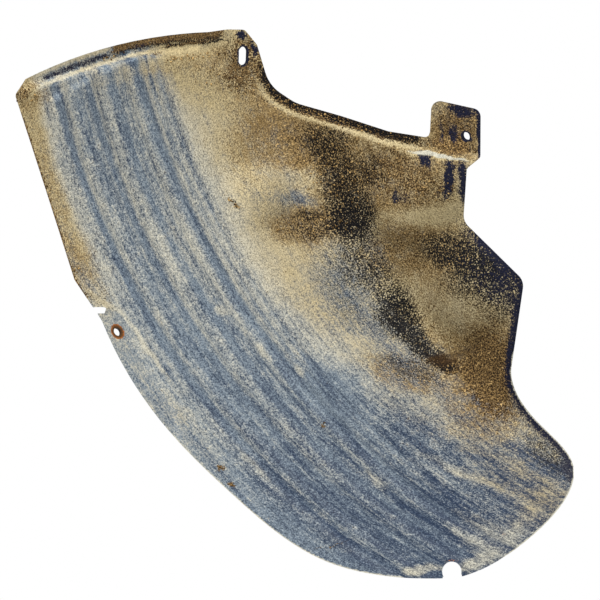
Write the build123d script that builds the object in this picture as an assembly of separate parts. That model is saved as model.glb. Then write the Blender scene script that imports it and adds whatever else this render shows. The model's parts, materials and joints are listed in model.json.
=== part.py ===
from build123d import *
import math
import os

# Rear wheel arch liner: one ribbed plastic sheet that bends round the wheel and turns up into an inboard wall.
# Millimetres and degrees. The origin is the bolt hole in the upper tab. +X runs towards the inboard wall, +Z up
# to the flanged edge, and -Y looks out of the hollow, towards the wheel. The outline is drawn on XZ, square to
# the direction in which the sheet leaves its mould.

# Sheet, and how far the flange and the screw lug step back from it
SHEET = 2.5
FLANGE_STEP = 8.0
LUG_STEP = 3.0

# Wheel axis against the outline: its lean out of the XZ plane, and its fall below level within that plane
AXIS_LEAN = 41.4
AXIS_FALL = 30.2
ARCH_RADIUS = 432.0
BAND_DATUM = (-226.7, -121.9)

# Section across the arch, measured inboard from the datum: flat band, round corner, leaning wall
BAND_LENGTH = 150.0
CORNER_RADIUS = 30.0
WALL_SLOPE = 78.0

# Ribs raised on the band: inboard centre and width at the foot of each, their flanks, and the angles where they
# start and end
RIBS = [(-48.0, 17.0), (-20.0, 30.0), (15.5, 30.0), (42.0, 17.0)]
RIB_HEIGHT = 3.0
RIB_FLANK = 5.0
RIB_START = -25.0
RIB_END = 60.0

# Swellings towards the wheel: inboard centre, angle, straight length inboard, half width, height
SWELLINGS = [
    (115.0, -4.5, 5.0, 31.0, 6.5),
    (262.0, 5.5, 60.0, 32.0, 8.0),
    (236.0, 18.5, 6.0, 42.0, 11.0),
]

# Outline on XZ, from the outer edge up, along the flange to the tab, and back by the wall and the plain lower end
LUG_CORNER = (-312.5, -115.3)
CORNER_LEFT = (-359.0, 31.0)
FLANGE_LEFT = (-351.0, 44.0)
FLANGE_MIDDLE = (-274.0, 74.0)
FLANGE_CREST = (-207.0, 84.5)
EAR_LEFT = (-192.0, 87.0)
EAR_RIGHT = (-178.0, 87.0)
EAR_SHOULDER = (-168.0, 75.0)
EAR_SIDE = (-163.0, 58.5)
EAR_FOOT = (-158.0, 42.0)
RIM_START = (-137.0, 28.0)
RIM_MIDDLE = (-99.5, 17.0)
RIM_END = (-62.0, 4.5)
TAB_FOOT = (-29.0, -1.0)
TAB_LEFT = (-28.3, 14.0)
TAB_TOP_LEFT = (-27.5, 30.0)
TAB_TOP_RIGHT = (11.5, 21.0)
TAB_RIGHT = (11.5, 2.0)
TAB_CORNER = (11.5, -17.0)
NECK_TOP = (0.5, -26.0)
NECK_LOW = (-2.0, -68.0)
WALL_SHOULDER = (46.5, -116.0)
WALL_WAIST = (36.5, -188.0)
HORN_HOLLOW = (58.0, -229.5)
HORN_TIP = (86.0, -264.0)
LOWER_ROUND = (54.7, -316.5)
LOWER_END = (-12.0, -351.0)
LOWER_LEFT = (-57.0, -350.5)
LOWER_TURN = (-113.0, -338.0)
OUTER_BOW = (-187.0, -285.5)
OUTER_MIDDLE = (-241.5, -230.5)
OUTER_TOP = (-291.0, -147.5)
EDGE_ROUND = 4.0
EAR_ROUND = 30.0
TAB_ROUND = 7.0
WALL_ROUND = 12.0

# Folds, drawn a little past the outline: at the foot of the flange, and round the screw lug
FLANGE_FOLD = [(-380.0, 25.0), (-349.0, 35.0), (-261.0, 62.0), (-213.0, 68.0), (-187.0, 49.0), (-160.0, 27.0),
               (-64.0, -5.5), (-38.0, -14.0), (40.0, -21.0)]
LUG_FOLD = [(-330.0, -119.0), (-301.0, -124.0), (-276.0, -146.0), (-256.0, -177.0), (-232.0, -212.0),
            (-222.0, -275.0)]
FOLD_ROUND = 5.0

# Holes and notches
TAB_HOLE = (0.0, 0.0)
TAB_HOLE_DIAMETER = 7.0
LUG_HOLE = (-278.5, -156.5)
LUG_HOLE_DIAMETER = 7.0
EAR_SLOT = (-179.4, 65.8)
EAR_SLOT_WIDTH = 8.0
EAR_SLOT_LENGTH = 15.0
LUG_NOTCH = (-293.0, -139.5)
LUG_NOTCH_WIDTH = 5.0
LUG_NOTCH_DEPTH = 12.0
LOWER_NOTCH = (-13.0, -346.5)
LOWER_NOTCH_DIAMETER = 15.5

# Cover of the swept surfaces past the outline, and reach of the cutting blocks
COVER = 30.0
REACH = 400.0

lean = math.radians(AXIS_LEAN)
fall = math.radians(AXIS_FALL)
slope = math.radians(WALL_SLOPE)
INBOARD = Vector(math.cos(lean) * math.cos(fall), math.sin(lean), math.cos(lean) * math.sin(fall))
RADIAL = Vector(-math.sin(lean) * math.cos(fall), math.cos(lean), -math.sin(lean) * math.sin(fall))
AROUND = Vector(math.sin(fall), 0, -math.cos(fall))
WHEEL_CENTRE = Vector(BAND_DATUM[0], 0, BAND_DATUM[1]) - RADIAL * ARCH_RADIUS
WHEEL_AXIS = Axis(WHEEL_CENTRE, INBOARD * -1)
CORNER_END = BAND_LENGTH + CORNER_RADIUS * slope
INNER_CURVE = ARCH_RADIUS - CORNER_RADIUS


def outline_lines():
    """Edges of the whole outline."""
    return [
        FilletPolyline(OUTER_TOP, LUG_CORNER, CORNER_LEFT, FLANGE_LEFT, radius=EDGE_ROUND),
        ThreePointArc(FLANGE_LEFT, FLANGE_MIDDLE, FLANGE_CREST),
        FilletPolyline(FLANGE_CREST, EAR_LEFT, EAR_RIGHT, EAR_SHOULDER, EAR_SIDE, radius=EDGE_ROUND),
        FilletPolyline(EAR_SIDE, EAR_FOOT, RIM_START, RIM_MIDDLE, radius=EAR_ROUND),
        FilletPolyline(RIM_MIDDLE, RIM_END, TAB_FOOT, TAB_LEFT, radius=EDGE_ROUND),
        FilletPolyline(TAB_LEFT, TAB_TOP_LEFT, TAB_TOP_RIGHT, TAB_RIGHT, radius=TAB_ROUND),
        FilletPolyline(TAB_RIGHT, TAB_CORNER, NECK_TOP, radius=EDGE_ROUND),
        FilletPolyline(NECK_TOP, NECK_LOW, WALL_SHOULDER, WALL_WAIST, radius=WALL_ROUND),
        Spline(WALL_WAIST, HORN_HOLLOW, HORN_TIP, LOWER_ROUND, LOWER_END),
        Spline(LOWER_END, LOWER_LEFT, LOWER_TURN, OUTER_BOW, OUTER_MIDDLE, OUTER_TOP),
    ]


OUTLINE = make_face(outline_lines())
CORNERS = [(vertex.X, vertex.Y) for vertex in OUTLINE.vertices()]


def seen_inboard(x, z):
    """Distance inboard of the datum at which a point of the outline would meet the plain band."""
    return ((x - BAND_DATUM[0]) * math.cos(fall) + (z - BAND_DATUM[1]) * math.sin(fall)) / math.cos(lean)


def seen_around(x, z):
    """Distance of a point of the outline from the datum, round the arch and straight across it."""
    return (x - BAND_DATUM[0]) * AROUND.X + (z - BAND_DATUM[1]) * AROUND.Z


BAND_START = min(seen_inboard(x, z) for x, z in CORNERS) - 3 * COVER
WALL_HEIGHT = max(seen_inboard(x, z) for x, z in CORNERS) - BAND_LENGTH
INNER_RADIUS = INNER_CURVE - WALL_HEIGHT
ANGLE_START = math.degrees(math.asin((min(seen_around(x, z) for x, z in CORNERS) - COVER) / INNER_CURVE))
ANGLE_END = math.degrees(math.asin((max(seen_around(x, z) for x, z in CORNERS) + COVER) / INNER_CURVE))


def outward(angle):
    """Direction away from the wheel's axis at an angle round the arch."""
    return RADIAL * math.cos(math.radians(angle)) + AROUND * math.sin(math.radians(angle))


def sweep_round(profile, start, end):
    """Profile of inboard distance and radius, swept round the wheel's axis between two angles."""
    plane = Plane(origin=WHEEL_CENTRE, x_dir=INBOARD, z_dir=INBOARD.cross(outward(start)))
    return revolve(plane * profile, WHEEL_AXIS, revolution_arc=end - start)


def section_frame(inboard, angle):
    """Plane on the plain section, with X inboard along it, Y round the arch and Z towards the wheel."""
    turn = min(max(inboard - BAND_LENGTH, 0) / CORNER_RADIUS, slope)
    wall = max(inboard - CORNER_END, 0)
    across = min(inboard, BAND_LENGTH) + CORNER_RADIUS * math.sin(turn) + wall * math.cos(slope)
    radius = ARCH_RADIUS - CORNER_RADIUS * (1 - math.cos(turn)) - wall * math.sin(slope)
    away = outward(angle)
    return Plane(
        origin=WHEEL_CENTRE + INBOARD * across + away * radius,
        x_dir=INBOARD * math.cos(turn) - away * math.sin(turn),
        z_dir=INBOARD * -math.sin(turn) - away * math.cos(turn),
    )


def swelling(inboard, angle, length, half_width, height, depth):
    """Round-ended ridge across the arch that stands out of the section by a height, seen at a depth in the sheet."""
    crown = (half_width ** 2 + height ** 2) / (2 * height)
    radius = crown - depth
    half = make_face([
        ThreePointArc((-length / 2 - radius, 0), (-length / 2 - radius * math.sqrt(0.5), radius * math.sqrt(0.5)),
                      (-length / 2, radius)),
        Line((-length / 2, radius), (length / 2, radius)),
        ThreePointArc((length / 2, radius), (length / 2 + radius * math.sqrt(0.5), radius * math.sqrt(0.5)),
                      (length / 2 + radius, 0)),
        Line((length / 2 + radius, 0), (-length / 2 - radius, 0)),
    ])
    return section_frame(inboard, angle) * Pos(0, 0, height - crown) * revolve(half, Axis.X)


def rib_profile(centre, width, depth):
    """Section of one rib at a depth in the sheet: flank, flat top and flank on the band, closed behind it."""
    foot = ARCH_RADIUS + depth
    top = foot - RIB_HEIGHT
    behind = foot + RIB_HEIGHT
    left = centre - width / 2
    right = centre + width / 2
    return make_face(Polyline((left, behind), (left, foot), (left + RIB_FLANK, top), (right - RIB_FLANK, top),
                              (right, foot), (right, behind), close=True))


def mould_space(depth):
    """Space on the wheel's side of the surface that lies at a depth in the sheet."""
    radius = ARCH_RADIUS + depth
    corner = CORNER_RADIUS + depth
    bends = [(BAND_LENGTH + corner * math.sin(turn), radius - corner * (1 - math.cos(turn)))
             for turn in (0, slope / 2, slope)]
    wall_end = (bends[2][0] + WALL_HEIGHT * math.cos(slope), bends[2][1] - WALL_HEIGHT * math.sin(slope))
    profile = make_face([
        Line((BAND_START, radius), bends[0]),
        ThreePointArc(*bends),
        Polyline(bends[2], wall_end, (wall_end[0], INNER_RADIUS), (BAND_START, INNER_RADIUS), (BAND_START, radius)),
    ])
    space = sweep_round(profile, ANGLE_START, ANGLE_END)
    rib_start = RIB_START + math.degrees(depth / ARCH_RADIUS)
    for centre, width in RIBS:
        space -= sweep_round(rib_profile(centre, width, depth), rib_start, RIB_END)
    for place_and_size in SWELLINGS:
        space -= swelling(*place_and_size, depth)
    return space


WHEEL_SIDE = mould_space(0)
BODY_SIDE = mould_space(SHEET)


def between(face, back_drop, front_drop):
    """Solid of an outline, from the sheet's back moved away from the wheel to its front moved likewise."""
    block = extrude(Plane.XZ * face, amount=REACH, both=True)
    return (block & Pos(0, back_drop, 0) * BODY_SIDE) - Pos(0, front_drop, 0) * WHEEL_SIDE


def region(fold, *far_corners):
    """Area on one side of a fold line, closed well outside the outline."""
    return make_face([FilletPolyline(*fold, radius=FOLD_ROUND), Polyline(fold[-1], *far_corners, fold[0])])


def stepped(area, drop):
    """Part of the outline inside an area, stepped back from the sheet, with the wall that joins the two."""
    edge = area - offset(area, amount=-SHEET)
    return between(OUTLINE & area, drop, drop) + between(OUTLINE & edge, drop, 0)


def surface_plane(place, drop):
    """Plane on the wheel side at a place of the outline, stepped back by a drop, with Z towards the wheel."""
    x, z = place
    surface = (Pos(0, drop, 0) * WHEEL_SIDE).shells()[0]
    hits = surface.find_intersection_points(Axis((x, -REACH, z), (0, 1, 0)))
    point, away = max(hits, key=lambda hit: hit[0].Y)
    up = Vector(0, 0, 1)
    return Plane(origin=point, x_dir=up - away * up.dot(away), z_dir=away * -1)


def punch(place, drop, shape):
    """Cutter of a shape, square through the sheet."""
    return extrude(surface_plane(place, drop) * shape, amount=3 * SHEET, both=True)


def liner():
    """The whole moulding, with its holes, moved so that the middle of the tab's hole is at the origin."""
    flange_area = region(FLANGE_FOLD, (FLANGE_FOLD[-1][0], REACH), (FLANGE_FOLD[0][0], REACH))
    lug_area = region(LUG_FOLD, (LUG_FOLD[0][0], LUG_FOLD[-1][1]))
    moulding = between(OUTLINE - flange_area - lug_area, 0, 0)
    moulding += stepped(flange_area, FLANGE_STEP)
    moulding += stepped(lug_area, LUG_STEP)
    moulding -= punch(TAB_HOLE, FLANGE_STEP, Circle(TAB_HOLE_DIAMETER / 2))
    moulding -= punch(LUG_HOLE, LUG_STEP, Circle(LUG_HOLE_DIAMETER / 2))
    moulding -= punch(EAR_SLOT, FLANGE_STEP, SlotOverall(EAR_SLOT_LENGTH, EAR_SLOT_WIDTH))
    notches = Pos(*LUG_NOTCH) * SlotOverall(LUG_NOTCH_DEPTH, LUG_NOTCH_WIDTH)
    notches += Pos(*LOWER_NOTCH) * Circle(LOWER_NOTCH_DIAMETER / 2)
    moulding -= extrude(Plane.XZ * notches, amount=REACH, both=True)
    tab = surface_plane(TAB_HOLE, FLANGE_STEP)
    return Pos(tab.z_dir * SHEET / 2 - tab.origin) * moulding


os.makedirs("parts", exist_ok=True)
export_step(liner(), "parts/arch_liner.step")
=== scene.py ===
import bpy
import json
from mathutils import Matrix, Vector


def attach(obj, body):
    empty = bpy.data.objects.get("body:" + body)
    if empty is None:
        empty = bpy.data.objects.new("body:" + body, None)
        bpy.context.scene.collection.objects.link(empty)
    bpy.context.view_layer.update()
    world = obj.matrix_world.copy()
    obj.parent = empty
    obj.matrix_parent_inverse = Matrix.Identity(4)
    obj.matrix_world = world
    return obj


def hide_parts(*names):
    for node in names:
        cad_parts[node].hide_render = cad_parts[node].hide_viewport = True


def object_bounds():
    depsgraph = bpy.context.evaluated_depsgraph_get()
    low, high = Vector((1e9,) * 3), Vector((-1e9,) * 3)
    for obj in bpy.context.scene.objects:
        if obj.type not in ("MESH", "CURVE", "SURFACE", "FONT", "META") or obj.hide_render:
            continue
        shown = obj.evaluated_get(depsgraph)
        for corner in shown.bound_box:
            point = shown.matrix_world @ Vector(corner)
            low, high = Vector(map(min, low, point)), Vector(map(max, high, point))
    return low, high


bl_info = {
    "name": "Wheel arch liner",
    "version": (1, 0, 0),
    "blender": (4, 5, 0),
    "location": "View3D > Sidebar > Arch Liner",
    "description": "Dusty moulded wheel arch liner with dried mud, on a pale stage",
    "category": "Add Mesh",
}

import json
import math
import random

import bmesh
import bpy
import numpy as np
from bpy.props import FloatProperty, FloatVectorProperty, IntProperty, PointerProperty
from mathutils import Euler, Matrix, Vector, noise
from mathutils.bvhtree import BVHTree

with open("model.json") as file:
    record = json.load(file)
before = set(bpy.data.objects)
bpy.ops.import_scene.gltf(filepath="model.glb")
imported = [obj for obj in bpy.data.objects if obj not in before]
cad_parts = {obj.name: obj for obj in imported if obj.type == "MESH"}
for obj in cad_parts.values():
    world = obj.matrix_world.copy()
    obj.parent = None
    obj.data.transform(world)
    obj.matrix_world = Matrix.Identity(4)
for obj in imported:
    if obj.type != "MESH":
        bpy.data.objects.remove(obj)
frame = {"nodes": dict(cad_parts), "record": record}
CAD_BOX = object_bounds()
CAD_LINER = frame["nodes"]["arch_liner"]
MOUNTS = {mount["name"]: mount for mount in frame["record"]["mounts"]}
MM = 0.001

# Wheel axis of the arch in the part's frame: a point of the band, the arch's radius,
# and the axis's lean and fall
BAND_POINT = Vector((-0.22735, -0.03028, -0.12227))
ARCH_RADIUS = 0.432
AXIS_LEAN = math.radians(41.4)
AXIS_FALL = math.radians(30.2)
INBOARD = Vector((math.cos(AXIS_LEAN) * math.cos(AXIS_FALL), math.sin(AXIS_LEAN),
                  math.cos(AXIS_LEAN) * math.sin(AXIS_FALL)))
RADIAL = Vector((-math.sin(AXIS_LEAN) * math.cos(AXIS_FALL), math.cos(AXIS_LEAN),
                 -math.sin(AXIS_LEAN) * math.sin(AXIS_FALL)))
AROUND = Vector((math.sin(AXIS_FALL), 0, -math.cos(AXIS_FALL)))
WHEEL_CENTRE = BAND_POINT - RADIAL * ARCH_RADIUS

# The sheet is laid over the solid along the mould direction
AHEAD = Vector((0, 1, 0))
FAR = 1.0
FRONT, BACK = 1, -1
COLLAR = 12 * MM
EDGE_INSET = 0.8 * MM
EDGE_MARGIN = 0.4 * MM
WALL_TILT = 0.02
STEEP = 0.3
SHEET = MOUNTS["tab_hole"]["dims"]["length_mm"] * MM

# Holes through the sheet: mount, radius and length of the straight sides between the round ends
HOLES = [("tab_hole", MOUNTS["tab_hole"]["dims"]["r_mm"] * MM, 0.0),
         ("lug_hole", MOUNTS["lug_hole"]["dims"]["r_mm"] * MM, 0.0),
         ("ear_slot", 4 * MM, 7 * MM)]
HOLE_REACH = 4 * MM

# The swellings start this far inboard of the band's datum, and the folds lie within this distance
# of the outline
SWOLLEN_START = 74 * MM
SWOLLEN_GAP = 15 * MM

# Loose triangles of the solid are joined within a gap, and slivers under an area stand for no edge.
# One rounding pass moves a vertex by a share of the way to the mean of its neighbours
JOIN_GAP = MM / 1000
SLIVER_AREA = MM * MM / 1000
SMOOTHING = 0.5

# Edges of the sheet over this angle are shaded sharp, and the relief starts and is full at these
# distances from the outline, in millimetres
SHARP_ANGLE = math.radians(50)
RELIEF_START, RELIEF_FULL = 0.2, 2.5

# Stage: the view's middle, the long lens, the floor, and the light's place from the liner's middle
VIEW_MIDDLE = Vector((-0.1339, -0.03, -0.1317))
SENSOR_WIDTH = 36
LENS = 750
CLIP_END = 100
FLOOR_HALF = 3
FLOOR_COLOUR = (0.85, 0.85, 0.85, 1)
LIGHT_SIZE = 1.2
LIGHT_PLACE = Vector((-0.25, -1.0, 1.5))


def clamp(value, low, high):
    return max(low, min(high, value))


def soft_step(value, low, high):
    """0 below low, 1 above high and a smooth rise between them."""
    share = np.clip((value - low) / (high - low), 0, 1)
    return share * share * (3 - 2 * share)


def fade(value, low, high):
    """1 below low, 0 above high and a smooth fall between them."""
    return 1 - soft_step(value, low, high)


def between(value, low, full, falling, high):
    """1 from full to falling, 0 below low and above high, and smooth in between."""
    return soft_step(value, low, full) * fade(value, falling, high)


# Laying the sheet over the solid


def merged_solid():
    """Bmesh of the liner's solid with its loose triangles joined."""
    solid = bmesh.new()
    solid.from_mesh(CAD_LINER.data)
    bmesh.ops.remove_doubles(solid, verts=solid.verts, dist=JOIN_GAP)
    solid.normal_update()
    return solid


def meet(tree, x, z, side):
    """Point and normal where the sheet is met from the front or from the back."""
    return tree.ray_cast(Vector((x, -FAR * side, z)), AHEAD * side)[:2]


def outline_walls(solid, tree):
    """Tree of tall strips that stand on the liner's outline, to find its nearest point."""
    corners, strips = [], []
    for face in solid.faces:
        if abs(face.normal.y) > WALL_TILT or face.calc_area() < SLIVER_AREA:
            continue
        outside = face.calc_center_median() + face.normal * EDGE_MARGIN
        if meet(tree, outside.x, outside.z, FRONT)[0] is not None:
            continue
        along = AHEAD.cross(face.normal)
        ends = sorted((vert.co for vert in face.verts), key=along.dot)
        first = len(corners)
        for end, height in ((ends[0], -FAR), (ends[-1], -FAR), (ends[-1], FAR), (ends[0], FAR)):
            corners.append(Vector((end.x, height, end.z)))
        strips.append(range(first, first + 4))
    return BVHTree.FromPolygons(corners, strips)


def hole_place(hole, x, z, side):
    """Point over a place on a hole's flat rim, the nearest point of the hole's core, the way out from it,
    and the distance past the hole's wall."""
    name, radius, straight = hole
    axis = Vector(MOUNTS[name]["axis"])
    middle = Vector(MOUNTS[name]["pos_m"]) + axis * (SHEET / 2 * side)
    drop = axis.x * (x - middle.x) + axis.z * (z - middle.z)
    point = Vector((x, middle.y - drop / axis.y, z))
    length = (Vector((0, 0, 1)) - axis * axis.z).normalized()
    arm = point - middle
    core = middle + length * clamp(arm.dot(length), -straight / 2, straight / 2)
    out = point - core
    return point, core, out, out.length - radius


def near_hole(x, z):
    """Number of the hole whose rim is near a place, or None."""
    for number, hole in enumerate(HOLES):
        if hole_place(hole, x, z, FRONT)[3] < HOLE_REACH:
            return number
    return None


def sheet_height(tree, walls, x, z, side):
    """Height of the sheet over a place, carried on past its edges, and the distance from its outline."""
    number = near_hole(x, z)
    edge, outward, _, gap = walls.find_nearest(Vector((x, 0, z)))
    if number is not None:
        return hole_place(HOLES[number], x, z, side)[0].y, gap
    point, slope = meet(tree, x, z, side)
    if point is None or gap < EDGE_MARGIN:
        inner = edge - outward * EDGE_INSET
        point, slope = meet(tree, inner.x, inner.z, side)
    if point is None:
        return None, gap
    if abs(slope.y) < STEEP:
        return point.y, gap
    return point.y - (slope.x * (x - point.x) + slope.z * (z - point.z)) / slope.y, gap


def sheet_grid(cell):
    """Flat grid over the liner's front view and a collar round it."""
    low, high = CAD_BOX
    width = high.x - low.x + 2 * COLLAR
    height = high.z - low.z + 2 * COLLAR
    middle = (low + high) / 2
    place = Matrix.Translation((middle.x, 0, middle.z)) @ Matrix.Rotation(math.pi / 2, 4, "X")
    grid = bmesh.new()
    bmesh.ops.create_grid(grid, x_segments=round(width / cell), y_segments=round(height / cell),
                          size=0.5, matrix=place @ Matrix.Diagonal((width, height, 1, 1)))
    return grid


def refine_holes(grid):
    """Cells of half the width round the holes."""
    fine = {vert for vert in grid.verts if near_hole(vert.co.x, vert.co.z) is not None}
    edges = [edge for edge in grid.edges if fine.issuperset(edge.verts)]
    bmesh.ops.subdivide_edges(grid, edges=edges, cuts=1, use_grid_fill=True)


def lay_front(grid, tree, walls):
    """Lays the grid on the liner's front and gives the vertices on the sheet, clear of the holes."""
    inside, lost = set(), []
    for vert in grid.verts:
        x, z = vert.co.x, vert.co.z
        height, gap = sheet_height(tree, walls, x, z, FRONT)
        number = near_hole(x, z)
        covered = number is not None or meet(tree, x, z, FRONT)[0] is not None
        if height is None or (not covered and gap > COLLAR):
            lost.append(vert)
            continue
        vert.co.y = height
        if number is not None:
            covered = hole_place(HOLES[number], x, z, FRONT)[3] > 0
        if covered:
            inside.add(vert)
    bmesh.ops.delete(grid, geom=lost, context="VERTS")
    return inside


def soften(grid, verts, passes):
    """Rounds the moulded edges by moving vertices along the mould direction only."""
    for _ in range(passes):
        bmesh.ops.smooth_vert(grid, verts=verts, factor=SMOOTHING, use_axis_y=True)


def swollen(verts, walls):
    """Vertices on the swellings and the inner corner, clear of the ribs and of the edges' folds."""
    chosen = []
    for vert in verts:
        gap = walls.find_nearest(Vector((vert.co.x, 0, vert.co.z)))[3]
        if gap > SWOLLEN_GAP and (vert.co - WHEEL_CENTRE).dot(INBOARD) > SWOLLEN_START:
            chosen.append(vert)
    return chosen


def trim(grid, inside, walls, rim):
    """Pulls the first row outside to the outline or to a hole's wall, and deletes what lies past it."""
    grid.normal_update()
    past = [face for face in grid.faces if not any(vert in inside for vert in face.verts)]
    bmesh.ops.delete(grid, geom=past, context="FACES")
    for vert in grid.verts:
        if vert in inside:
            continue
        number = near_hole(vert.co.x, vert.co.z)
        if number is None:
            edge = walls.find_nearest(Vector((vert.co.x, 0, vert.co.z)))[0]
            move = Vector((edge.x - vert.co.x, 0, edge.z - vert.co.z))
            slope = vert.normal
            if abs(slope.y) > STEEP:
                move.y = -(slope.x * move.x + slope.z * move.z) / slope.y
            vert.co += move
        else:
            _, core, out, _ = hole_place(HOLES[number], vert.co.x, vert.co.z, FRONT)
            vert.co = core + out.normalized() * HOLES[number][1]
            vert[rim] = number + 1


def add_back(grid, tree, walls, rim, settings):
    """Second skin on the solid's back, with the walls that join it to the front."""
    front = grid.verts.layers.float.new("front")
    for vert in grid.verts:
        vert[front] = 1
    made = bmesh.ops.extrude_face_region(grid, geom=grid.faces[:], use_keep_orig=True)["geom"]
    back = [item for item in made if isinstance(item, bmesh.types.BMVert)]
    for vert in back:
        vert[front] = 0
        if vert[rim]:
            vert.co -= Vector(MOUNTS[HOLES[vert[rim] - 1][0]]["axis"]) * SHEET
            continue
        height, _ = sheet_height(tree, walls, vert.co.x, vert.co.z, BACK)
        vert.co.y = vert.co.y + SHEET if height is None else max(height, vert.co.y + SHEET / 2)
    skin = set(back)
    inner = [vert for vert in back if all(edge.other_vert(vert) in skin for edge in vert.link_edges)]
    soften(grid, inner, settings.rounding)
    soften(grid, swollen(inner, walls), settings.easing)


# Marks of use and of painted light and shade, as soft ovals seen from the front: middle x and z, half
# length and half width in millimetres, turn of the length up from +X in degrees, and strength
# Dust, with painted highlights on the wall's lit ridge and on the lit fold under the tab
DUST_AND_HIGHLIGHT_MARKS = [
    (-240, 59, 60, 6, 17, 0.3), (-350, 32, 18, 14, 0, 0.3), (-150, 38, 30, 6, -48, 0.3),
    (-90, 4, 62, 4, -17, 0.5), (8, -276, 34, 3.5, -20, 0.3), (-73, -276, 13, 4, -40, 0.4),
    (-36, -345, 30, 4, 4, 0.6), (6, -340, 14, 6, 20, 0.5), (50, -300, 36, 7, 52, 0.15),
    (-197, -141, 6, 5, 0, 0.4), (-164, -173, 9, 5, -45, 0.4), (-134, -188, 6, 4, -45, 0.4),
    (-20, -17, 32, 2.2, -8, 1.2), (-20, -262, 26, 5, -24, 0.25), (30, -262, 40, 5, -25, 0.15),
    (-150, -330, 30, 5, -30, 0.2), (-118, -306, 14, 4, -40, 0.35), (-170, -262, 16, 4, -45, 0.3),
    (-291, -133, 24, 2.2, -38, 0.8), (-254, -173, 36, 2.0, -54, 0.7), (-222, -225, 34, 3.0, -50, 0.3),
    (-20, -62, 52, 12, 2, 0.7), (-10, -142, 40, 26, 0, 0.4), (-40, -110, 30, 24, 0, 0.2),
    (10, -232, 50, 12, -18, 0.15), (16, -322, 46, 14, -28, 0.25), (64, -296, 30, 22, 50, 0.08),
]
WASHED_MARKS = [
    (-110, -205, 40, 22, -35, 0.3), (-60, -240, 50, 18, -30, 0.1), (10, -300, 55, 18, -28, 0.05),
    (-150, -50, 36, 8, -6, 0.25), (-138, -51, 14, 6, 0, 0.25), (-82, -112, 30, 34, 0, 0.3),
    (-52, -162, 40, 26, -40, 0.35), (-104, -112, 26, 34, 0, 0.2), (-110, -338, 60, 8, -12, 0.35),
    (-204, -283, 40, 6, -38, 0.15), (-160, -318, 60, 20, -30, 0.15), (-122, -138, 44, 28, -20, 0.15),
    (-88, -146, 26, 18, -30, 0.15), (60, -256, 36, 16, -40, 0.15), (-256, -190, 50, 14, -54, 0.12),
    (-188, -60, 26, 16, 0, 0.1),
]
MUD_MARKS = [
    (-234, 72, 44, 4, 13, 0.95), (-110, 15, 66, 5, -18, 1.0), (-152, 38, 22, 5, -50, 0.95),
    (-178, 62, 18, 30, 0, 0.7), (-8, 6, 22, 26, 0, 0.6), (-124, -2, 28, 26, 0, 0.4),
    (-126, -72, 32, 13, 0, 0.35), (-14, -8, 24, 5, -8, 0.9), (-54, -32, 56, 26, -15, 0.55),
    (-10, -140, 46, 34, 0, 0.3), (22, -190, 26, 40, 0, 1.0), (-14, -184, 28, 7, -15, 0.95),
    (-338, -52, 5, 46, 17, 0.5), (-352, 34, 14, 10, 0, 0.6), (-28, -244, 46, 18, 0, 0.1),
    (-40, -92, 40, 22, 0, 0.35), (-292, -128, 14, 10, 0, 0.3), (-196, 50, 26, 14, 0, 0.3),
    (30, -230, 30, 16, -30, 0.15), (-58, 0, 30, 4, -14, 0.7), (-189, -278, 4, 2, -30, 0.9),
    (-116, -232, 2.6, 2.2, 0, 0.9), (-106, -325, 10, 1.4, 20, 0.7), (-197, -266, 3, 2.2, 0, 0.7),
    (-120, -328, 4, 1.2, 20, 0.6),
]
UMBER_MARKS = [
    (-130, 10, 60, 38, -30, 0.5), (-118, -40, 30, 60, 0, 0.4), (-128, -71, 38, 17, 0, 0.65),
    (-60, -36, 62, 40, -10, 0.65), (-36, -92, 60, 28, 0, 0.65), (-10, -150, 60, 50, 0, 0.45),
    (20, -195, 40, 50, 0, 0.8), (-20, -235, 60, 20, 0, 0.2), (-182, 52, 40, 26, 0, 0.4),
    (-50, -192, 38, 16, -18, 0.6), (-345, 30, 20, 15, 0, 0.45), (-332, -40, 10, 70, 17, 0.35),
    (-306, -105, 14, 30, 17, 0.4), (60, -262, 40, 26, 0, 0.2), (-225, 58, 50, 8, 14, 0.25),
    (-8, 4, 28, 32, 0, 0.8), (-160, -4, 40, 40, -40, 0.5),
]
# Black grit, with painted shade below the wall's lit ridge and in the pocket under the bulge
STAIN_AND_SHADE_MARKS = [
    (-114, -4, 22, 20, 0, 0.6), (-106, -40, 18, 26, 10, 0.45), (-92, -64, 22, 20, 0, 0.9),
    (-80, -98, 24, 28, 0, 0.3), (-66, -118, 20, 22, 0, 0.3), (-98, -108, 30, 36, 0, 0.28),
    (-90, -146, 24, 16, -30, 0.2), (-53, -144, 20, 24, 25, 0.8), (-40, -166, 30, 10, -38, 0.8),
    (-24, -180, 22, 6, -22, 0.75), (-8, -178, 12, 4, 18, 0.2), (-46, -188, 34, 12, -20, 0.4),
    (-2, -94, 46, 17, -12, 0.55), (14, -116, 50, 32, -35, 0.55), (66, -256, 30, 14, -35, 0.4),
    (-254, 68, 36, 2.2, 16, 0.7), (-214, 74, 26, 1.8, 10, 0.7), (-110, 15, 60, 2.5, -18, 0.75),
    (-86, -30, 30, 22, 0, 0.45), (-122, -74, 30, 11, 0, 0.4), (24, -104, 24, 22, -30, 0.5),
    (-8, 6, 24, 26, 0, 0.25), (-128, -62, 12, 5, 0, 0.5), (-186, -53, 8, 1.5, -38, 0.6),
]
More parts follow.
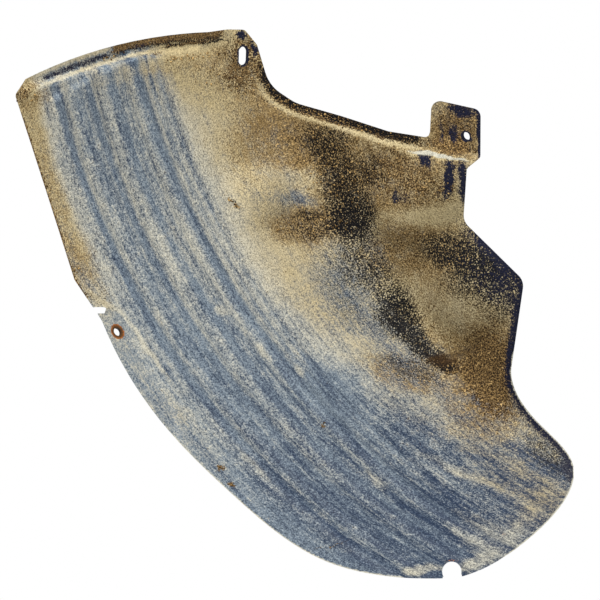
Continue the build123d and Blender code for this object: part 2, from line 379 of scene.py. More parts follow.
# Wiped plastic, with painted shade below the wall's lit ridge
BARE_AND_SHADE_MARKS = [
    (-312, 54, 25, 3.6, 18, 0.6), (-262, 72, 12, 3, 20, 0.6), (-181, 82, 5, 5, 0, 0.95),
    (-171, 70, 3, 11, 14, 0.9), (-4, 20, 14, 7, -22, 1.0), (-20, 3, 2, 12, 0, 0.8),
    (-10, 2, 4.5, 10, 0, 0.9), (10, 8, 3, 14, 0, 0.95), (-36, -18, 3, 8, 14, 1.0),
    (-31, -20, 2.4, 9, 14, 1.0), (-14.5, -33, 5, 19, -6, 1.0), (-2.5, -38, 6, 24, 4, 1.0),
    (18, -88, 40, 9, -40, 0.75), (18, -112, 38, 22, -35, 0.45), (34, -116, 10, 34, 8, 0.5),
    (79, -266, 5, 12, 0, 0.7), (-57, -48, 2.6, 8, 0, 0.9), (-50, -50, 9, 7, 0, 0.5),
    (-18, -46, 12, 8, 0, 0.4), (-138, -50, 16, 6, 0, 0.4), (26, -128, 14, 12, 0, 0.4),
    (-150, -330, 62, 7, -31, 0.45), (-96, -351, 40, 4, -8, 0.6),
]
# Painted highlight on the lit fold under the tab, over the dust there
HIGHLIGHT_MARKS = [(-22, -16, 32, 2.3, -11, 1.0)]
# Painted shadow: the dark crescent in the pocket under the wall's bulge
POCKET_SHADOW_MARKS = [(-18, -179, 18, 5, 8, 0.75), (4, -172, 12, 6, 20, 0.3)]
RUST_MARKS = [(-13, -338, 8, 1.6, 0, 0.6), (28, -318, 3, 2, 0, 0.5)]

# Places kept clear of brown dust, mud and grit, so that they stay pale as painted highlights: the wall's
# lit ridge, the fold under the tab and the tops of two swellings
CLEAR_MARKS = [
    (-22, -64, 44, 9, 2, 0.8), (-20, -17, 32, 2.4, -8, 0.95), (-142, -36, 28, 12, 0, 0.55),
    (-6, -142, 30, 16, 0, 0.35),
]

# Low bump beside the band's swelling, in the same form, with its height in millimetres
BUMPS = [(-142, -40, 34, 24, 0, 0.98)]
BUMP_HEIGHT = 3.0

# Where crumbs lie: middle x and z, half length and half width in millimetres, turn in degrees, and count
CRUMB_PATCHES = [
    (-218, 64, 24, 3, 8, 60), (-282, 64, 10, 2, 20, 14), (-336, -42, 3, 20, 17, 34),
    (-309, -108, 5, 6, 0, 12), (-188, -53, 9, 0.8, -38, 16), (-182, -57, 5, 0.8, -10, 8),
    (-150, -75, 6, 0.8, 18, 10), (-110, 15, 42, 3, -18, 70), (-12, -10, 22, 2, -8, 36),
    (-90, -30, 40, 26, 0, 150), (-110, -6, 24, 18, 0, 60), (-28, -42, 20, 8, -10, 60),
    (-352, 30, 10, 8, 0, 16), (-124, -70, 30, 12, 0, 40), (-116, -231, 2, 1.5, 0, 4),
    (-190, 48, 20, 10, 0, 30),
]

# How far noise shifts a loose mark's rim, the rim of a mark of bare plastic and painted shade, and a rust
# spot's, in millimetres
LOOSE_RAGGED, BARE_AND_SHADE_RAGGED, RUST_RAGGED = 4.0, 2.0, 1.0

# An oval is full within its core and gone past its rim, as shares of its half size
OVAL_CORE, OVAL_RIM = 0.35, 1.35

# Shift of the noise from one seed to the next
NOISE_STEP = (7.3, 3.1, 5.7)

# Darker stripes along the ribs, where the dust is thinner: distance inboard of the band's datum, half
# width in millimetres, and strength; they wander by this much, and fade from core to rim in half widths
RIB_STRIPES = [(-48.5, 3.6, 1.0), (-27, 6, 0.6), (-15.5, 4.2, 0.85), (10.5, 4.6, 0.9), (22, 4.5, 0.4),
               (41.5, 4.8, 1.0), (56, 1.8, 0.45), (66, 1.8, 0.4)]
STRIPE_WANDER = 1.5
STRIPE_CORE, STRIPE_RIM = 0.2, 1.9

# Two thin ribs: distance inboard, height and spread
THIN_RIBS = [56 * MM, 66 * MM]
THIN_RIB_HEIGHT = 0.9 * MM
THIN_RIB_SPREAD = 1.8 * MM

# Dust on the whole sheet and its limit, then what takes from it: the ribs, their stripes (which tail
# off), the lower end (less on the ribs, more inboard), the ribs' upper start, the lower left and the
# low outer margin
DUST_COAT, DUST_LIMIT = 0.94, 1.2
RIB_LOSS, STRIPE_LOSS, STRIPE_TAIL = 0.33, 0.5, 0.4
LOW_LOSS, LOW_LOSS_RIBS, LOW_LOSS_INNER = 0.42, 0.15, 0.26
START_LOSS, LOWER_LEFT_LOSS, MARGIN_LOSS = 0.1, 0.18, 0.2

# Tan in the dust by the wall and the flanged edge, and how far it turns pale low down
WALL_WARMTH, TOP_WARMTH, LOW_COOLING = 0.8, 0.5, 0.6

# Thin film of dust on the plastic, what the lower end and the wall take from it, and more on the margin
FILM, FILM_LOSS_LOW, FILM_LOSS_WALL, FILM_MARGIN = 0.8, 0.45, 0.15, 0.35

# Grit that comes with brown dust and mud
GRIMY_STAIN = 0.2

# Slant of the lower end and of the wall's side in the front view
LOW_SLANT, WALL_SLANT = 0.35, 0.15

# Lines of the flange and of the rim in the front view: slope, and x where they start
FLANGE_SLOPE, FLANGE_LEFT = 0.26, -358
RIM_SLOPE, RIM_LEFT = 0.36, -165

# Strengths along the edges: wiped strip, grit in the muddy strip and on the rim, what the folds cover,
# their dust and painted highlight, the wall's bare strip and painted shade, the painted shade on the
# wall's and tab's edges, the paler lower left edge and the lug's dark ring
STRIP_WIPED, STRIP_GRIT, RIM_GRIT = 0.8, 0.45, 0.9
FOLD_COVER, FOLD_DUST_AND_HIGHLIGHT = 0.85, 0.95
WALL_BARE_AND_SHADE, EDGE_SHADE, LEFT_PALE_EDGE = 0.95, 1.1, 0.85
LUG_DARK_RING = 0.9

# Relief in millimetres: the mud's mean height, its fine and coarse lumps, the grit's and the dust's
MUD_MEAN, MUD_FINE, MUD_COARSE = 0.25, 0.35, 0.3
GRIT_FINE, DUST_FINE = 0.25, 0.08

# Crumbs: seed, spread across a patch, ranges of size and stretch, height over the sheet and lumps,
# both in radii
CRUMB_SEED = 7
PATCH_SPREAD = 0.5
CRUMB_SIZES, CRUMB_STRETCHES = (0.5, 1.4), (0.6, 1.3)
CRUMB_RISE, CRUMB_LUMPS = 0.3, 0.35

# Noises of the finish: bumps in a metre, detail and roughness
GRAIN = (930, 0.0, 0.5)
SPECK = (430, 1.0, 0.6)
FLAKE = (610, 0.0, 0.5)
CLUMP = (120, 4.0, 0.7)
CLOUD = (24, 3.0, 0.6)
CRUMB_GRAIN = (500, 2.0, 0.6)

# Noises drawn out along the arch: bumps in a metre inboard, round the arch and off the sheet
STREAK_STRETCH = (380, 34, 100)
SWEEP_STRETCH = (110, 13, 40)
DRAWN_OUT = (1, 3.0, 0.6)


def oval(x, z, mark):
    """Strength of one soft oval at each place."""
    middle_x, middle_z, half_length, half_width, turn, strength = mark
    lean = math.radians(turn)
    along = ((x - middle_x) * math.cos(lean) + (z - middle_z) * math.sin(lean)) / half_length
    across = ((z - middle_z) * math.cos(lean) - (x - middle_x) * math.sin(lean)) / half_width
    return strength * fade(np.hypot(along, across), OVAL_CORE, OVAL_RIM)


def layered(x, z, marks):
    """Ovals laid over each other, each on what the others leave free."""
    free = np.ones_like(x)
    for mark in marks:
        free *= 1 - oval(x, z, mark)
    return 1 - free


def added(x, z, marks):
    """Sum of the ovals' strengths."""
    return sum(oval(x, z, mark) for mark in marks)


def arch_places(points):
    """Distance inboard, angle round the wheel and distance round the arch of each point."""
    arm = points - np.array(WHEEL_CENTRE)
    inboard = arm @ np.array(INBOARD)
    angle = np.arctan2(arm @ np.array(AROUND), arm @ np.array(RADIAL))
    return inboard, np.degrees(angle), angle * ARCH_RADIUS


def noise_at(points, cell, seed):
    """Smooth noise from -1 to 1 at each point, with bumps about one cell wide."""
    shift = Vector([seed * step for step in NOISE_STEP])
    return np.array([noise.noise(Vector(point) / cell + shift) for point in points])


def warped(points, amount, cell, seed):
    """Front view places in millimetres, shifted by noise so that the ovals' rims turn ragged."""
    x = points[:, 0] / MM + amount * noise_at(points, cell, seed)
    z = points[:, 2] / MM + amount * noise_at(points, cell, seed + 1)
    return x, z


def at_least(marks, name, values):
    """Raises a finish to the given amount where it is lower."""
    marks[name] = np.maximum(marks[name], values)


def rib_stripes(points, across):
    """Strength of the stripes, which wander a little along the ribs."""
    wander = across + STRIPE_WANDER * noise_at(points, 40 * MM, 5)
    stripes = np.zeros_like(across)
    for middle, half, strength in RIB_STRIPES:
        stripe = strength * fade(np.abs(wander - middle) / half, STRIPE_CORE, STRIPE_RIM)
        stripes = np.maximum(stripes, stripe)
    return stripes


def lower_end(x, z):
    """Rise from 0 to 1 towards the liner's lower end."""
    return soft_step(-z - LOW_SLANT * x, 160, 270)


def dust_coat(x, z, across, angle, stripes):
    """Pale dust, thinner on the ribs, on their stripes and towards the lower end."""
    along = soft_step(angle, -29, -24) * (1 - STRIPE_TAIL * soft_step(angle, 18, 38))
    on_ribs = between(across, -72, -58, 66, 84)
    inner = soft_step(across, 66, 84)
    low_loss = LOW_LOSS - LOW_LOSS_RIBS * on_ribs + LOW_LOSS_INNER * inner
    dust = DUST_COAT - RIB_LOSS * on_ribs - STRIPE_LOSS * stripes * along - low_loss * lower_end(x, z)
    dust -= START_LOSS * on_ribs * fade(angle, -18, -2)
    dust -= LOWER_LEFT_LOSS * soft_step(-z, 230, 310) * fade(x, -30, 30)
    dust += added(x, z, DUST_AND_HIGHLIGHT_MARKS) - added(x, z, WASHED_MARKS)
    return np.clip(dust, 0, DUST_LIMIT)


def dust_warmth(x, z, across):
    """How far the dust turns to tan: by the wall, on the outer margin and by the flanged edge."""
    warm = WALL_WARMTH * soft_step(across, 50, 120) + soft_step(-across, 60, 80)
    warm -= LOW_COOLING * lower_end(x, z) * fade(x, -60, 40)
    return np.clip(warm + TOP_WARMTH * soft_step(z, 10, 60), 0, 1)


def dust_film(x, z):
    """Specks of dust on the plastic itself, fewer towards the lower end and the wall."""
    by_wall = soft_step(x + WALL_SLANT * z, -110, -10)
    return FILM - FILM_LOSS_LOW * soft_step(-z, 150, 330) - FILM_LOSS_WALL * by_wall


def finish_marks(points, edge):
    """Amount of each finish and of the painted shade and highlights at each point of the sheet, with
    distances from the outline in millimetres.
    """
    x, z = warped(points, LOOSE_RAGGED, 14 * MM, 1)
    inboard, angle, _ = arch_places(points)
    across = inboard / MM
    margin = soft_step(-across, 56, 72) * soft_step(-z, 105, 150)
    dust = dust_coat(x, z, across, angle, rib_stripes(points, across))
    clear = 1 - layered(x, z, CLEAR_MARKS)
    marks = {
        "dust": dust - MARGIN_LOSS * margin * soft_step(-z, 180, 240),
        "warm": dust_warmth(x, z, across),
        "film": dust_film(x, z) + FILM_MARGIN * margin,
        "umber": layered(x, z, UMBER_MARKS) * clear,
        "mud": layered(x, z, MUD_MARKS) * clear,
        "stain_and_shade": layered(x, z, STAIN_AND_SHADE_MARKS) * clear,
        "bare_and_shade": layered(*warped(points, BARE_AND_SHADE_RAGGED, 8 * MM, 9), BARE_AND_SHADE_MARKS),
        "rust": layered(*warped(points, RUST_RAGGED, 4 * MM, 13), RUST_MARKS),
        "shadow_and_dark_ring": layered(x, z, POCKET_SHADOW_MARKS),
        "pale_and_highlight": layered(x, z, HIGHLIGHT_MARKS),
    }
    at_least(marks, "stain_and_shade", GRIMY_STAIN * np.clip(marks["umber"] + marks["mud"], 0, 1))
    edge_strips(x, z, edge, marks)
    shaded_and_lit_edges(x, z, edge, marks)
    return marks


def edge_strips(x, z, edge, marks):
    """Dark strips, pale folds and pale edges that follow the flanged edge, the tab and the wall's edge,
    with painted highlights on the folds and the flange's edge and painted shade on the wall's and tab's
    edges.
    """
    flange = soft_step(z - FLANGE_SLOPE * (x - FLANGE_LEFT), 16, 24) * fade(x, -205, -190)
    rim = between(x, -172, -160, -44, -34) * soft_step(z + RIM_SLOPE * (x - RIM_LEFT), 8, 16)
    strip = between(edge, 3.0, 4.5, 7.0, 9.0)
    fold = np.maximum(flange * between(edge, 8.5, 10.0, 11.5, 13.5),
                      rim * between(edge, 7.0, 8.5, 10.0, 12.0))
    wiped = between(x, -344, -334, -292, -276)
    muddy = np.maximum(flange * soft_step(x, -292, -276), rim)
    at_least(marks, "bare_and_shade", STRIP_WIPED * flange * strip * wiped)
    # Pale dust on the flange's edge, with a painted highlight where the edge catches the light
    at_least(marks, "dust", flange * (1 - muddy) * fade(edge, 2.0, 4.0))
    at_least(marks, "mud", muddy * fade(edge, 5.0, 7.0))
    at_least(marks, "stain_and_shade", STRIP_GRIT * strip * muddy)
    at_least(marks, "stain_and_shade", RIM_GRIT * fade(edge, 4.0, 6.5) * rim)
    for name in ("bare_and_shade", "mud", "stain_and_shade", "umber"):
        marks[name] *= 1 - FOLD_COVER * fold
    # Pale dust on the folds, with a painted highlight on their lit crest
    at_least(marks, "dust", FOLD_DUST_AND_HIGHLIGHT * fold)
    wall = soft_step(x, -2, 6) * between(-z, 70, 80, 265, 290)
    tab = soft_step(x, 2, 8) * soft_step(z, -18, -12)
    # Dark strip along the wall's edge: bare plastic with painted shade
    at_least(marks, "bare_and_shade", WALL_BARE_AND_SHADE * wall * fade(edge, 2.5, 10.0))
    # Painted shade along the cut edges of the wall and the tab
    at_least(marks, "bare_and_shade", EDGE_SHADE * np.maximum(wall, tab) * fade(edge, 1.2, 3.2))


def shaded_and_lit_edges(x, z, edge, marks):
    """Painted shade in the colour of mud along the upper left edge, a painted highlight along the lower
    right edge, and a paler strip along the lower left edge.
    """
    upper_left = soft_step(-x, 270, 300) * between(z, -140, -120, 10, 30)
    # Painted shade along the upper left cut edge, in the colour of mud
    at_least(marks, "mud", upper_left * fade(edge, 0.6, 1.8))
    lower_right = soft_step(x, 10, 40) * soft_step(-z, 150, 190)
    lower_left = soft_step(-z, 215, 245) * fade(x, -60, -40)
    # Painted highlight along the lower right edge, where the cut edge catches the light, and a paler strip
    # along the lower left edge
    at_least(marks, "pale_and_highlight", fade(edge, 0.4, 1.6) * np.maximum(lower_right, LEFT_PALE_EDGE * lower_left))


def hole_marks(points, marks):
    """Rust and a dark ring round the lug's hole, and dark rims round the other two, which are wiped
    plastic with painted shade of the holes' walls.
    """
    for hole in HOLES:
        gap = np.array([hole_place(hole, point[0], point[2], FRONT)[3] for point in points]) / MM
        if hole[0] == "lug_hole":
            at_least(marks, "rust", fade(gap, 2.4, 3.6))
            # Dark ring round the lug's hole, in the colour of damp mud
            at_least(marks, "shadow_and_dark_ring", LUG_DARK_RING * fade(gap, 1.0, 2.6))
        else:
            # Dark rims round the tab's hole and the slot: wiped plastic with painted shade of the holes'
            # walls
            at_least(marks, "bare_and_shade", fade(gap, 0.9, 2.2))


def mud_relief(points, marks):
    """Height of the dried mud, grit and dust, the low bump and the thin ribs at each point."""
    inboard, angle, _ = arch_places(points)
    fine = noise_at(points, 3.5 * MM, 21)
    coarse = noise_at(points, 11 * MM, 22)
    height = marks["mud"] * (MUD_MEAN + MUD_FINE * fine + MUD_COARSE * coarse) * MM
    height += marks["stain_and_shade"] * (GRIT_FINE * fine) * MM
    height += DUST_FINE * MM * fine * np.clip(marks["dust"], 0, 1)
    height += layered(points[:, 0] / MM, points[:, 2] / MM, BUMPS) * BUMP_HEIGHT * MM
    present = between(angle, -24, -18, 40, 55)
    for middle in THIN_RIBS:
        height += THIN_RIB_HEIGHT * present * np.exp(-((inboard - middle) / THIN_RIB_SPREAD) ** 2)
    return height


# Materials


def paint(red, green, blue):
    """Linear colour of a shade given from 0 to 255 as it looks on a screen."""
    shares = [value / 255 for value in (red, green, blue)]
    return tuple(share / 12.92 if share < 0.04045 else ((share + 0.055) / 1.055) ** 2.4
                 for share in shares)


def add_node(tree, kind, inputs, **settings):
    """Node of a kind with its settings made and its inputs set or joined."""
    node = tree.nodes.new(kind)
    for name, value in settings.items():
        setattr(node, name, value)
    for key, value in inputs.items():
        if isinstance(value, bpy.types.NodeSocket):
            tree.links.new(value, node.inputs[key])
        else:
            node.inputs[key].default_value = value
    return node


def attribute(tree, name, kind="Fac"):
    return add_node(tree, "ShaderNodeAttribute", {}, attribute_name=name).outputs[kind]


def speckle(tree, vector, scale, detail, roughness):
    """Noise round 0.5, with the given number of bumps in a metre."""
    made = add_node(tree, "ShaderNodeTexNoise", {"Vector": vector, "Scale": scale, "Detail": detail,
                                                 "Roughness": roughness})
    return made.outputs["Fac"]


def drawn_out(tree, arch, stretch):
    """Noise drawn out along the arch."""
    place = add_node(tree, "ShaderNodeMapping", {"Vector": arch, "Scale": stretch}).outputs[0]
    return speckle(tree, place, *DRAWN_OUT)


def calculate(tree, operation, *values):
    return add_node(tree, "ShaderNodeMath", dict(enumerate(values)), operation=operation).outputs[0]


def swing(tree, value, gain):
    """A noise turned to swing round 0."""
    return calculate(tree, "MULTIPLY_ADD", value, gain, -gain / 2)


def total(tree, *values):
    result = values[0]
    for value in values[1:]:
        result = calculate(tree, "ADD", result, value)
    return result


def ramp(tree, value, low, high):
    """Smooth rise from 0 to 1."""
    made = add_node(tree, "ShaderNodeMapRange", {"Value": value, "From Min": low, "From Max": high},
                    interpolation_type="SMOOTHSTEP")
    return made.outputs["Result"]


def mix(tree, share, first, second):
    """Blend of two colours."""
    made = add_node(tree, "ShaderNodeMix", {0: share, 6: first, 7: second}, data_type="RGBA")
    return made.outputs[2]


def shade(colour):
    return (*colour, 1.0)


def new_material(name):
    material = bpy.data.materials.new(name)
    material.use_nodes = True
    return material, material.node_tree, material.node_tree.nodes["Principled BSDF"]


def liner_material(colours):
    """Slate plastic under dust, dried mud, black grit, wiped places and rust, with painted shade and
    painted highlights.
    """
    material, tree, shader = new_material("dusty_liner_plastic")
    place = tree.nodes.new("ShaderNodeTexCoord").outputs["Object"]
    arch = attribute(tree, "arch", "Vector")
    grain, speck, flake, clump, cloud = [speckle(tree, place, *kind)
                                         for kind in (GRAIN, SPECK, FLAKE, CLUMP, CLOUD)]
    streak = drawn_out(tree, arch, STREAK_STRETCH)
    sweep = drawn_out(tree, arch, SWEEP_STRETCH)
    fine = swing(tree, grain, 0.8)
    pits = swing(tree, grain, -0.8)
    dots = swing(tree, speck, 0.9)
    lines = total(tree, swing(tree, streak, 0.7), swing(tree, sweep, 0.7))

    # Plastic under its film of dust, then the dust itself, which also carries painted highlights
    film = total(tree, attribute(tree, "film"), swing(tree, grain, 1.1), dots, swing(tree, streak, 1.2),
                 swing(tree, sweep, 1.8))
    colour = mix(tree, ramp(tree, film, -0.1, 1.2), shade(colours.deep), shade(colours.slate))
    dust = total(tree, attribute(tree, "dust"), swing(tree, grain, 0.55), swing(tree, speck, 0.6), lines,
                 swing(tree, clump, 0.7), swing(tree, cloud, 0.4))
    dust_share = ramp(tree, dust, 0.05, 1.05)
    warm = total(tree, attribute(tree, "warm"), swing(tree, cloud, 0.8))
    bright = mix(tree, ramp(tree, warm, 0.0, 1.0), shade(colours.dust), shade(colours.tan))
    umber = total(tree, attribute(tree, "umber"), pits, swing(tree, clump, 0.6))
    bright = mix(tree, ramp(tree, umber, 0.0, 0.8), bright, shade(colours.umber))
    colour = mix(tree, dust_share, colour, bright)

    # Dried mud, black grit with painted shade, and sandy flecks
    mud = total(tree, attribute(tree, "mud"), pits, dots, swing(tree, clump, 1.3))
    mud_share = ramp(tree, mud, 0.3, 0.8)
    mud_grain = ramp(tree, grain, 0.25, 0.75)
    mud_colour = mix(tree, mud_grain, shade(colours.dark_mud_and_shadow), shade(colours.mud))
    colour = mix(tree, mud_share, colour, mud_colour)
    rough_grain = total(tree, swing(tree, grain, -2.4), dots, swing(tree, clump, 0.8), 1.0)
    stain_and_shade = calculate(tree, "MULTIPLY", attribute(tree, "stain_and_shade"), rough_grain)
    stain_share = ramp(tree, stain_and_shade, 0.05, 0.75)
    colour = mix(tree, stain_share, colour, shade(colours.grit_and_shade))
    flecks = calculate(tree, "MULTIPLY", ramp(tree, flake, 0.66, 0.82),
                       ramp(tree, attribute(tree, "umber"), 0.1, 0.9))
    colour = mix(tree, flecks, colour, shade(colours.mud_light))

    # Wiped plastic with painted shade, pale marks with painted highlights, rust, and the lug's dark ring
    # with the painted shadow in the pocket
    bare_and_shade = total(tree, attribute(tree, "bare_and_shade"), pits, swing(tree, clump, 0.8), dots)
    colour = mix(tree, ramp(tree, bare_and_shade, 0.3, 0.9), colour, shade(colours.navy))
    # Pale marks in the dust colour: a painted highlight on the lit fold under the tab and on the lower
    # right edge, and a paler lower left edge
    pale_and_highlight = total(tree, attribute(tree, "pale_and_highlight"), swing(tree, clump, 0.5))
    colour = mix(tree, ramp(tree, pale_and_highlight, 0.35, 0.8), colour, shade(colours.dust))
    rust = total(tree, attribute(tree, "rust"), fine)
    colour = mix(tree, ramp(tree, rust, 0.45, 0.8), colour, shade(colours.rust))
    # Painted shadow in the pocket under the bulge, and the dark ring round the lug's hole
    colour = mix(tree, attribute(tree, "shadow_and_dark_ring"), colour, shade(colours.dark_mud_and_shadow))

    # Light and dark grains all over, and the plain back
    brown_grain = calculate(tree, "MULTIPLY", attribute(tree, "umber"), swing(tree, grain, 0.9))
    tone = total(tree, swing(tree, grain, 1.0), brown_grain, swing(tree, speck, 0.6),
                 swing(tree, clump, 0.4), 1.0)
    tone = calculate(tree, "MAXIMUM", tone, 0.25)
    colour = add_node(tree, "ShaderNodeHueSaturation", {"Value": tone, "Color": colour}).outputs["Color"]
    back_film = ramp(tree, total(tree, lines, fine), -0.2, 1.2)
    back = mix(tree, back_film, shade(colours.back), shade(colours.slate))
    colour = mix(tree, attribute(tree, "front"), back, colour)
    tree.links.new(colour, shader.inputs["Base Color"])

    # Dust and mud are duller than the plastic and stand up in grains
    covered = calculate(tree, "MAXIMUM", dust_share, mud_share)
    rough = calculate(tree, "MULTIPLY_ADD", covered, 0.35, 0.58)
    tree.links.new(rough, shader.inputs["Roughness"])
    shader.inputs["Specular IOR Level"].default_value = 0.25
    half_grain = calculate(tree, "MULTIPLY", grain, 0.5)
    loose = total(tree, calculate(tree, "MULTIPLY", mud_share, grain),
                  calculate(tree, "MULTIPLY", stain_share, speck),
                  calculate(tree, "MULTIPLY", dust_share, half_grain))
    bump = add_node(tree, "ShaderNodeBump", {"Height": loose, "Strength": 0.7, "Distance": 1.2 * MM})
    tree.links.new(bump.outputs["Normal"], shader.inputs["Normal"])
    return material


def crumb_material(colours):
    """Dried mud in loose crumbs, from dark brown to tan."""
    material, tree, shader = new_material("dried_mud_crumbs")
    place = tree.nodes.new("ShaderNodeTexCoord").outputs["Object"]
    tone = total(tree, attribute(tree, "tone"), swing(tree, speckle(tree, place, *CRUMB_GRAIN), 1.2))
    colour = mix(tree, ramp(tree, tone, 0.0, 1.0), shade(colours.dark_mud_and_shadow), shade(colours.mud_light))
    tree.links.new(colour, shader.inputs["Base Color"])
    shader.inputs["Roughness"].default_value = 0.95
    shader.inputs["Specular IOR Level"].default_value = 0.1
    return material


# Settings


def colour_property(name, description, *shade_values):
    return FloatVectorProperty(name=name, description=description, default=paint(*shade_values),
                               subtype="COLOR", size=3, min=0, max=1)


class LinerSettings(bpy.types.PropertyGroup):
    """Sizes of the moulded sheet and its mud."""
    cell: FloatProperty(name="Cell", description="Width of the mesh cells of the sheet",
                        default=1.7 * MM, min=0.5 * MM, unit="LENGTH")
    rounding: IntProperty(name="Rounding", description="Passes that round the ribs, folds and swellings",
                          default=4, min=0)
    easing: IntProperty(name="Easing",
                        description="More such passes on the swellings and the round inner corner",
                        default=30, min=0)
    relief: FloatProperty(name="Relief", description="How high the dried mud and thin ribs stand",
                          default=1.0, min=0, subtype="FACTOR")
    crumb_size: FloatProperty(name="Crumb", description="Mean radius of the mud crumbs",
                              default=0.65 * MM, min=0.2 * MM, unit="LENGTH")


class FinishColours(bpy.types.PropertyGroup):
    """Colours of the plastic and of what lies on it."""
    deep: colour_property("Deep plastic", "Plastic between the specks of dust film", 36, 52, 76)
    slate: colour_property("Slate plastic", "Plastic under a film of dust", 118, 130, 140)
    # Also paints the shade under the wall's ridge, along the wall's and tab's edges and round the tab hole
    # and slot
    navy: colour_property("Wiped plastic", "Bare plastic where it was wiped or rubbed", 20, 23, 44)
    # Also the colour of the pale marks, which include painted highlights
    dust: colour_property("Dust", "Pale dry dust", 187, 183, 166)
    tan: colour_property("Tan dust", "Warmer dust by the wall", 182, 165, 124)
    umber: colour_property("Umber dust", "Damp, brown dust round the trough", 130, 106, 66)
    mud: colour_property("Mud", "Dried mud", 130, 104, 64)
    # Also paints the shadow in the pocket under the bulge and the dark ring at the lug
    dark_mud_and_shadow: colour_property("Damp mud", "Dark grains of the mud", 66, 46, 22)
    mud_light: colour_property("Sandy mud", "Light grains of the mud", 192, 160, 106)
    # Also paints the shade below the wall's ridge and in the pocket under the bulge
    grit_and_shade: colour_property("Grit", "Black grit in the trough", 9, 8, 12)
    rust: colour_property("Rust", "Rust left by screws", 148, 88, 40)
    back: colour_property("Back", "Plastic on the body side", 30, 34, 42)


class StageSettings(bpy.types.PropertyGroup):
    """Light and camera of the stage."""
    top_light: FloatProperty(name="Top light", description="Power of the soft light above the liner",
                             default=44, min=0, unit="POWER")
    sky: FloatProperty(name="Sky", description="Strength of the light from all round",
                       default=0.34, min=0)
    floor_gap: FloatProperty(name="Floor gap", description="Distance from the liner down to the floor",
                             default=0.25, min=0, unit="LENGTH")
    view_width: FloatProperty(name="View width", description="Width of the camera's view at the liner",
                              default=0.48, min=0.1, unit="LENGTH")


# Operators


def add_piece(context, name, shape, material):
    """Object at the origin from a bmesh, with its material."""
    mesh = bpy.data.meshes.new(name)
    shape.to_mesh(mesh)
    shape.free()
    mesh.materials.append(material)
    piece = bpy.data.objects.new(name, mesh)
    context.scene.collection.objects.link(piece)
    return piece


def set_attribute(mesh, name, values):
    """Float or vector attribute on the mesh's points."""
    flat = values.ndim == 1
    layer = mesh.attributes.new(name, "FLOAT" if flat else "FLOAT_VECTOR", "POINT")
    row = np.ascontiguousarray(values, dtype=np.float32).ravel()
    layer.data.foreach_set("value" if flat else "vector", row)


def read_points(mesh):
    """Places and normals of the mesh's points, and which of them are on the front."""
    count = len(mesh.vertices)
    points = np.empty(count * 3)
    mesh.vertices.foreach_get("co", points)
    normals = np.empty(count * 3)
    mesh.vertex_normals.foreach_get("vector", normals)
    front = np.empty(count)
    mesh.attributes["front"].data.foreach_get("value", front)
    return points.reshape(-1, 3), normals.reshape(-1, 3), front


class ARCHLINER_OT_moulding(bpy.types.Operator):
    """Build the moulded sheet with its ribs, swellings, folds, holes and dried mud"""
    bl_idname = "archliner.moulding"
    bl_label = "Moulded sheet"

    def execute(self, context):
        settings = context.scene.arch_liner
        material = liner_material(context.scene.arch_liner_colours)
        grid, walls = self.mould(settings)
        piece = add_piece(context, "arch_liner_sheet", grid, material)
        self.dress(piece.data, walls, settings)
        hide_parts("arch_liner")
        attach(piece, "root")
        return {"FINISHED"}

    def mould(self, settings):
        """Bmesh of the sheet with its back, and the tree of its outline."""
        solid = merged_solid()
        tree = BVHTree.FromBMesh(solid)
        walls = outline_walls(solid, tree)
        solid.free()
        grid = sheet_grid(settings.cell)
        rim = grid.verts.layers.int.new("rim")
        refine_holes(grid)
        inside = lay_front(grid, tree, walls)
        soften(grid, grid.verts, settings.rounding)
        soften(grid, swollen(grid.verts, walls), settings.easing)
        trim(grid, inside, walls, rim)
        add_back(grid, tree, walls, rim, settings)
        bmesh.ops.recalc_face_normals(grid, faces=grid.faces)
        return grid, walls

    def dress(self, mesh, walls, settings):
        """Lifts the mud and the thin ribs off the sheet and stores its finishes."""
        points, normals, front = read_points(mesh)
        edge = np.array([walls.find_nearest(Vector((x, 0, z)))[3] for x, _, z in points]) / MM
        marks = finish_marks(points, edge)
        hole_marks(points, marks)
        lift = mud_relief(points, marks) * front * settings.relief
        lift *= soft_step(edge, RELIEF_START, RELIEF_FULL)
        points += normals * lift[:, None]
        mesh.vertices.foreach_set("co", points.ravel())
        inboard, _, round_arch = arch_places(points)
        set_attribute(mesh, "arch", np.column_stack((inboard, round_arch, np.zeros_like(inboard))))
        for name, values in marks.items():
            set_attribute(mesh, name, values)
        mesh.shade_smooth()
        mesh.set_sharp_from_angle(angle=SHARP_ANGLE)


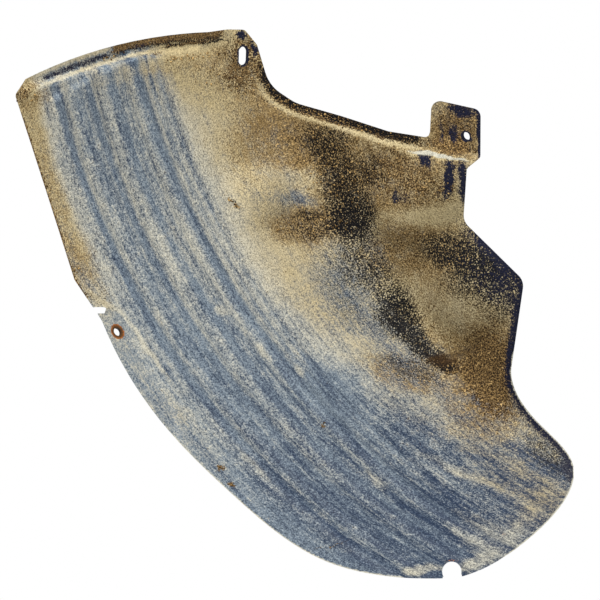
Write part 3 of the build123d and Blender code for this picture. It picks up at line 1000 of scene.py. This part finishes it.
class ARCHLINER_OT_crumbs(bpy.types.Operator):
    """Strew crumbs of dried mud on the sheet"""
    bl_idname = "archliner.crumbs"
    bl_label = "Mud crumbs"

    def execute(self, context):
        settings = context.scene.arch_liner
        sheet = context.scene.objects["arch_liner_sheet"]
        tree = BVHTree.FromObject(sheet, context.evaluated_depsgraph_get())
        chance = random.Random(CRUMB_SEED)
        noise.seed_set(CRUMB_SEED)
        shape = bmesh.new()
        tone = shape.verts.layers.float.new("tone")
        for x, z in self.places(chance):
            point, normal = meet(tree, x * MM, z * MM, FRONT)
            if point is not None:
                self.add_crumb(shape, tone, chance, point, normal, settings.crumb_size)
        material = crumb_material(context.scene.arch_liner_colours)
        piece = add_piece(context, "mud_crumbs", shape, material)
        piece.data.shade_smooth()
        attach(piece, "root")
        return {"FINISHED"}

    def places(self, chance):
        """Places of the crumbs, thickest in the middle of each patch."""
        for middle_x, middle_z, half_length, half_width, turn, count in CRUMB_PATCHES:
            lean = math.radians(turn)
            for _ in range(count):
                along = half_length * chance.uniform(-1, 1)
                across = half_width * chance.gauss(0, PATCH_SPREAD)
                yield (middle_x + along * math.cos(lean) - across * math.sin(lean),
                       middle_z + along * math.sin(lean) + across * math.cos(lean))

    def add_crumb(self, shape, tone, chance, point, normal, size):
        """One lumpy grain, sunk partly in the sheet."""
        radius = size * chance.uniform(*CRUMB_SIZES)
        turn = Euler([chance.uniform(0, math.tau) for _ in range(3)]).to_matrix().to_4x4()
        stretch = Matrix.Diagonal((*[chance.uniform(*CRUMB_STRETCHES) for _ in range(3)], 1))
        place = Matrix.Translation(point + normal * radius * CRUMB_RISE)
        made = bmesh.ops.create_icosphere(shape, subdivisions=1, radius=radius,
                                          matrix=place @ turn @ stretch)
        lightness = chance.random()
        for vert in made["verts"]:
            vert.co += noise.noise_vector(vert.co / radius) * radius * CRUMB_LUMPS
            vert[tone] = lightness


class ARCHLINER_OT_stage(bpy.types.Operator):
    """Build the floor, the lights, the background and the camera"""
    bl_idname = "archliner.stage"
    bl_label = "Stage"

    def execute(self, context):
        scene = context.scene
        settings = scene.arch_liner_stage
        low, high = CAD_BOX
        middle = (low + high) / 2
        material, _, shader = new_material("pale_floor")
        shader.inputs["Base Color"].default_value = FLOOR_COLOUR
        shape = bmesh.new()
        bmesh.ops.create_grid(shape, x_segments=1, y_segments=1, size=FLOOR_HALF,
                              matrix=Matrix.Translation((0, 0, low.z - settings.floor_gap)))
        add_piece(context, "floor", shape, material)
        lamp = bpy.data.lights.new("top_light", "AREA")
        lamp.energy = settings.top_light
        lamp.size = LIGHT_SIZE
        light = bpy.data.objects.new("top_light", lamp)
        light.location = middle + LIGHT_PLACE
        light.rotation_mode = "QUATERNION"
        light.rotation_quaternion = (middle - light.location).to_track_quat("-Z", "Y")
        scene.collection.objects.link(light)
        self.add_background(scene, settings)
        self.add_camera(scene, settings)
        scene.view_settings.view_transform = "Standard"
        return {"FINISHED"}

    def add_background(self, scene, settings):
        """White for the camera and a softer grey for the light."""
        world = bpy.data.worlds.new("studio")
        world.use_nodes = True
        tree = world.node_tree
        seen = tree.nodes.new("ShaderNodeLightPath").outputs["Is Camera Ray"]
        strength = calculate(tree, "MULTIPLY_ADD", seen, 1 - settings.sky, settings.sky)
        background = tree.nodes["Background"]
        background.inputs["Color"].default_value = (1, 1, 1, 1)
        tree.links.new(strength, background.inputs["Strength"])
        scene.world = world

    def add_camera(self, scene, settings):
        """Long lens square on to the front view."""
        data = bpy.data.cameras.new("camera")
        data.sensor_width = SENSOR_WIDTH
        data.lens = LENS
        data.clip_end = CLIP_END
        camera = bpy.data.objects.new("camera", data)
        distance = settings.view_width * data.lens / data.sensor_width
        camera.location = VIEW_MIDDLE - AHEAD * distance
        camera.rotation_euler = (math.pi / 2, 0, 0)
        scene.collection.objects.link(camera)
        scene.camera = camera


class ARCHLINER_PT_panel(bpy.types.Panel):
    """Sizes, colours and build buttons of the liner"""
    bl_idname = "ARCHLINER_PT_panel"
    bl_label = "Arch Liner"
    bl_space_type = "VIEW_3D"
    bl_region_type = "UI"
    bl_category = "Arch Liner"

    def draw(self, context):
        scene = context.scene
        for settings in (scene.arch_liner, scene.arch_liner_colours, scene.arch_liner_stage):
            for name in settings.__annotations__:
                self.layout.prop(settings, name)
        for operator in OPERATORS:
            self.layout.operator(operator.bl_idname)


OPERATORS = (ARCHLINER_OT_moulding, ARCHLINER_OT_crumbs, ARCHLINER_OT_stage)
CLASSES = (LinerSettings, FinishColours, StageSettings, *OPERATORS, ARCHLINER_PT_panel)


def register():
    for cls in CLASSES:
        bpy.utils.register_class(cls)
    bpy.types.Scene.arch_liner = PointerProperty(type=LinerSettings)
    bpy.types.Scene.arch_liner_colours = PointerProperty(type=FinishColours)
    bpy.types.Scene.arch_liner_stage = PointerProperty(type=StageSettings)


def unregister():
    for name in ("arch_liner", "arch_liner_colours", "arch_liner_stage"):
        delattr(bpy.types.Scene, name)
    for cls in reversed(CLASSES):
        bpy.utils.unregister_class(cls)


def main():
    register()
    bpy.ops.archliner.moulding()
    bpy.ops.archliner.crumbs()
    bpy.ops.archliner.stage()


if __name__ == "__main__":
    main()
